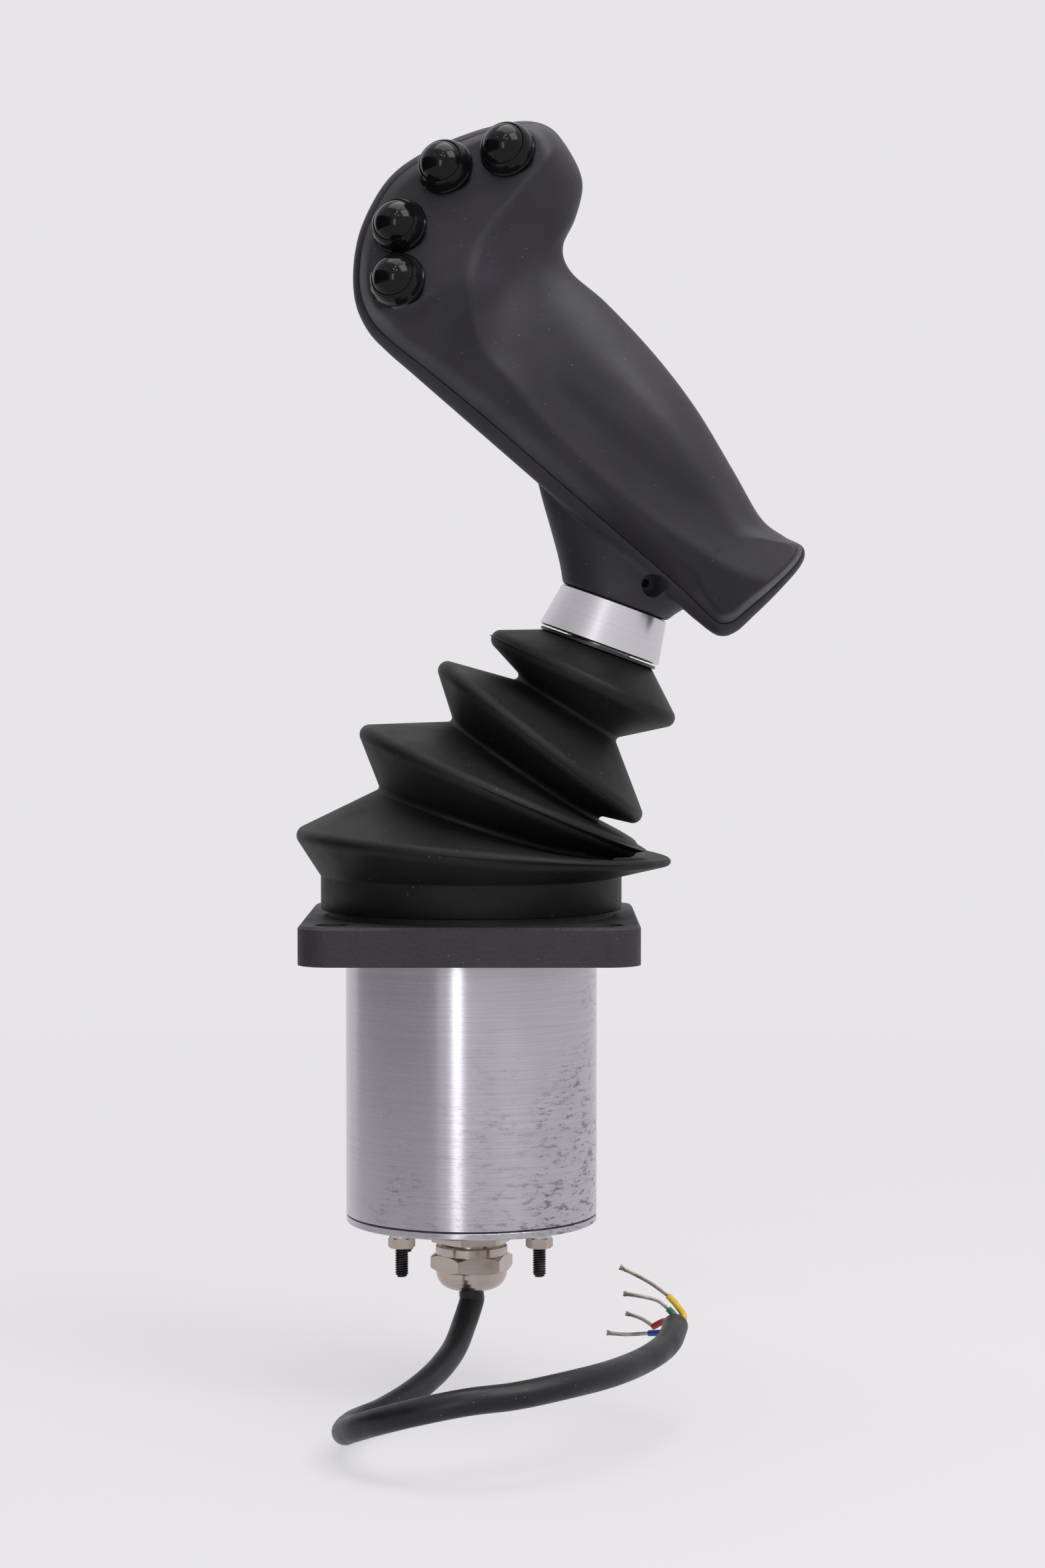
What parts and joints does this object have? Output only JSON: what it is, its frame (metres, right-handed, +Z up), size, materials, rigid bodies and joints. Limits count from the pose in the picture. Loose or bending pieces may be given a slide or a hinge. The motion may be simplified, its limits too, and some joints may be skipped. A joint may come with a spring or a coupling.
{
  "type": "two-axis industrial joystick",
  "caption": "Panel-mounted two-axis joystick with an angled hand grip carrying thumb buttons, a rubber bellows, a square flange, a closed aluminium can and a cable gland with a free cable.",
  "frame": {"origin": "centre of the square flange's underside, which rests on the panel", "axes": "+Z up, out of the panel along the can's axis; the grip's button side faces -Y; the lever leans towards +X at rest"},
  "size_m": [0.1519, 0.1803, 0.3789],
  "materials": {
    "flange_black": "black powder coat with a fine texture",
    "can_aluminium": "turned and brushed round, lightly scuffed",
    "cast_aluminium": "machined, plain",
    "collar_aluminium": "bright satin, turned",
    "zinc_steel": "zinc plated",
    "black_steel": "black oxide",
    "nickel_plate": "nickel plated",
    "gland_nickel": "nickel-plated brass, handled",
    "bronze": "sintered bronze",
    "friction_brown": "pressed friction lining",
    "board_green": "solder mask",
    "block_green": "moulded",
    "lead_red": "insulated leads",
    "gasket_rubber": "plain",
    "boot_rubber": "moulded black rubber with a little dust",
    "cable_black": "smooth black jacket",
    "core_yellow": "insulation",
    "core_green": "insulation",
    "core_red": "insulation",
    "core_blue": "insulation",
    "tinned_copper": "twisted tinned strands",
    "magnet_grey": "nickel-plated magnet",
    "washer_black": "black anodised",
    "grip_black": "soft-touch moulding with a fine grain",
    "bezel_gloss": "polished black",
    "dome_gloss": "polished black",
    "switch_black": "moulded"
  },
  "bodies": {
    "housing": {"mounting_flange": "flange_black", "limit_plate": "zinc_steel", "limit_plate_screws": "zinc_steel", "flange_screws": "zinc_steel", "housing_can": "can_aluminium", "gimbal_frame": "cast_aluminium", "frame_bushes": "bronze", "friction_discs": "friction_brown", "hall_board_x": "board_green", "circuit_board": "board_green", "board_spacers": "nickel_plate", "board_nuts": "nickel_plate", "terminal_block": "block_green", "inner_leads": "lead_red", "housing_studs": "black_steel", "bottom_gasket": "gasket_rubber", "bottom_cover": "can_aluminium", "stud_washers": "zinc_steel", "stud_nuts": "nickel_plate", "gland_body": "gland_nickel", "gland_washer": "gasket_rubber", "gland_locknut": "gland_nickel", "gland_seal": "gasket_rubber", "gland_cap": "gland_nickel", "cable_inner": "cable_black", "cable_jacket": "cable_black", "core_yellow": "core_yellow", "core_green": "core_green", "core_red": "core_red", "core_blue": "core_blue", "bare_strands": "tinned_copper", "rubber_boot": "boot_rubber"},
    "gimbal": {"gimbal_ring": "cast_aluminium", "ring_trunnions": "zinc_steel", "disc_springs": "zinc_steel", "preload_nut": "nickel_plate", "magnet_x": "magnet_grey", "ring_bushes": "bronze", "hall_board_y": "board_green"},
    "lever": {"lever_shaft": "zinc_steel", "cross_pin": "zinc_steel", "magnet_y": "magnet_grey", "lever_sleeve": "black_steel", "boot_washer": "washer_black", "lever_collar": "collar_aluminium", "grip_rear_shell": "grip_black", "grip_front_shell": "grip_black", "grip_screws": "black_steel", "neck_screw": "black_steel", "bezel_1": "bezel_gloss", "bezel_2": "bezel_gloss", "bezel_3": "bezel_gloss", "bezel_4": "bezel_gloss", "button_nuts": "nickel_plate", "button_switches": "switch_black"},
    "button_1": {"button_cap_1": "dome_gloss"},
    "button_2": {"button_cap_2": "dome_gloss"},
    "button_3": {"button_cap_3": "dome_gloss"},
    "button_4": {"button_cap_4": "dome_gloss"}
  },
  "joints": [
    {"name": "lever_side_tilt", "type": "hinge", "parent": "housing", "child": "gimbal", "pos_m": [0, 0, -0.013], "axis": [0, 1, 0], "range_deg": [-40, 0], "deforming": ["rubber_boot"]},
    {"name": "lever_fore_aft_tilt", "type": "hinge", "parent": "gimbal", "child": "lever", "pos_m": [0, 0, -0.013], "axis": [0.9397, 0, -0.342], "range_deg": [-20, 20], "deforming": ["rubber_boot"]},
    {"name": "button_1_press", "type": "slide", "parent": "lever", "child": "button_1", "axis": [0.3431, 0.891, -0.2972], "range_m": [0, 0.002], "stiffness_N_per_m": 700, "springref_m": -0.001},
    {"name": "button_2_press", "type": "slide", "parent": "lever", "child": "button_2", "axis": [0.3431, 0.891, -0.2972], "range_m": [0, 0.002], "stiffness_N_per_m": 700, "springref_m": -0.001},
    {"name": "button_3_press", "type": "slide", "parent": "lever", "child": "button_3", "axis": [0.3431, 0.891, -0.2972], "range_m": [0, 0.002], "stiffness_N_per_m": 700, "springref_m": -0.001},
    {"name": "button_4_press", "type": "slide", "parent": "lever", "child": "button_4", "axis": [0.3431, 0.891, -0.2972], "range_m": [0, 0.002], "stiffness_N_per_m": 700, "springref_m": -0.001}
  ]
}
